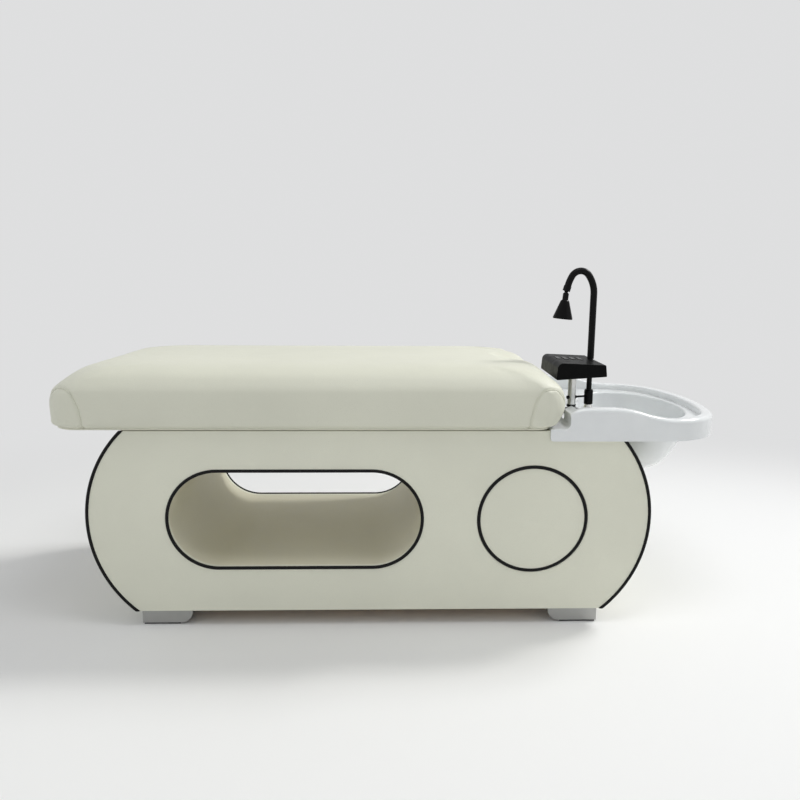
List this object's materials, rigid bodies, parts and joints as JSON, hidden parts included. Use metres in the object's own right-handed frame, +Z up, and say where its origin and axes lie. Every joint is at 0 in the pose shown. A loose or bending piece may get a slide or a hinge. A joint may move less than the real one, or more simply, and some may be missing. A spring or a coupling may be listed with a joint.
{
  "type": "hair washing bed",
  "caption": "Upholstered treatment bed with a tunnel through its base, a padded mattress, a white wash basin at the head end and a black swan-neck shower beside a small console.",
  "frame": {"origin": "on the floor, under the middle of the bed", "axes": "+X along the bed towards the basin, -Y the front side with the shower, +Z up"},
  "size_m": [1.9563, 0.7504, 1.0342],
  "materials": {
    "black_piping": "smooth black piping",
    "base_leather": "warm ivory, soft sheen",
    "mattress_leather": "warm ivory, soft sheen",
    "tunnel_leather": "warm ivory, soft sheen",
    "board": "bare plywood",
    "foot_metal": "satin grey",
    "pad_rubber": "matte",
    "bolt_steel": "zinc plated",
    "basin_white": "glossy white",
    "bright_metal": "polished",
    "pipe_plastic": "matte white",
    "brass_fitting": "machined",
    "hose_rubber": "matte",
    "console_black": "satin black",
    "key_black": "glossy black",
    "tap_black": "glossy black",
    "tap_dark": "satin black",
    "bell_plastic": "satin black"
  },
  "bodies": {
    "base": {"back_panel": "base_leather", "back_rail": "board", "basin_shell": "basin_white", "bottom_board": "board", "cold_hose": "hose_rubber", "cold_inlet": "brass_fitting", "console_post": "bright_metal", "console_shell": "console_black", "console_top": "console_black", "cover_seat_ring": "board", "drain_flange": "bright_metal", "drain_nut": "pipe_plastic", "drain_pipe": "pipe_plastic", "drain_trap": "pipe_plastic", "foot_back_left": "foot_metal", "foot_back_right": "foot_metal", "foot_bolts": "bolt_steel", "foot_front_left": "foot_metal", "foot_front_right": "foot_metal", "foot_pads": "pad_rubber", "front_panel": "base_leather", "front_rail": "board", "hot_hose": "hose_rubber", "hot_inlet": "brass_fitting", "left_bulkhead": "board", "left_end_panel": "base_leather", "link_bar": "tap_black", "mattress": "mattress_leather", "mattress_board": "board", "mattress_bolts": "bolt_steel", "piping_back_left": "black_piping", "piping_back_right": "black_piping", "piping_front_left": "black_piping", "piping_front_right": "black_piping", "piping_tunnel_back": "black_piping", "piping_tunnel_front": "black_piping", "post_band": "tap_dark", "post_bolt": "bolt_steel", "post_flange": "tap_dark", "right_bulkhead": "board", "right_end_panel": "base_leather", "spout_base": "bright_metal", "spout_fitting": "tap_black", "spout_nut": "brass_fitting", "top_deck": "board", "tunnel_liner": "tunnel_leather"},
    "cover": {"access_cover": "base_leather", "cover_piping": "black_piping", "cover_catches": "pipe_plastic"},
    "strainer": {"drain_strainer": "bright_metal"},
    "spout": {"riser_tube": "tap_black", "gooseneck": "tap_black", "spout_collar": "tap_black"},
    "bell": {"bell_neck": "tap_black", "shower_bell": "bell_plastic", "spray_plate": "bell_plastic"},
    "key_1": {"console_key_1": "key_black"},
    "key_2": {"console_key_2": "key_black"},
    "key_3": {"console_key_3": "key_black"},
    "key_4": {"console_key_4": "key_black"}
  },
  "joints": [
    {"name": "cover_pull", "type": "slide", "parent": "base", "child": "cover", "axis": [0, -1, 0], "range_m": [0, 0.06]},
    {"name": "strainer_lift", "type": "slide", "parent": "base", "child": "strainer", "axis": [0, 0, 1], "range_m": [0, 0.16]},
    {"name": "spout_swivel", "type": "hinge", "parent": "base", "child": "spout", "pos_m": [0.603, -0.106, 0.7], "axis": [0, 0, 1], "range_deg": [-120, 120]},
    {"name": "bell_tilt", "type": "hinge", "parent": "spout", "child": "bell", "pos_m": [0.51831, -0.106, 0.96606], "axis": [0, 1, 0], "range_deg": [-14, 34]},
    {"name": "key_1_press", "type": "slide", "parent": "base", "child": "key_1", "axis": [0, 0, -1], "range_m": [0, 0.0015], "stiffness_N_per_m": 600, "springref_m": -0.0003},
    {"name": "key_2_press", "type": "slide", "parent": "base", "child": "key_2", "axis": [0, 0, -1], "range_m": [0, 0.0015], "stiffness_N_per_m": 600, "springref_m": -0.0003},
    {"name": "key_3_press", "type": "slide", "parent": "base", "child": "key_3", "axis": [0, 0, -1], "range_m": [0, 0.0015], "stiffness_N_per_m": 600, "springref_m": -0.0003},
    {"name": "key_4_press", "type": "slide", "parent": "base", "child": "key_4", "axis": [0, 0, -1], "range_m": [0, 0.0015], "stiffness_N_per_m": 600, "springref_m": -0.0003}
  ]
}
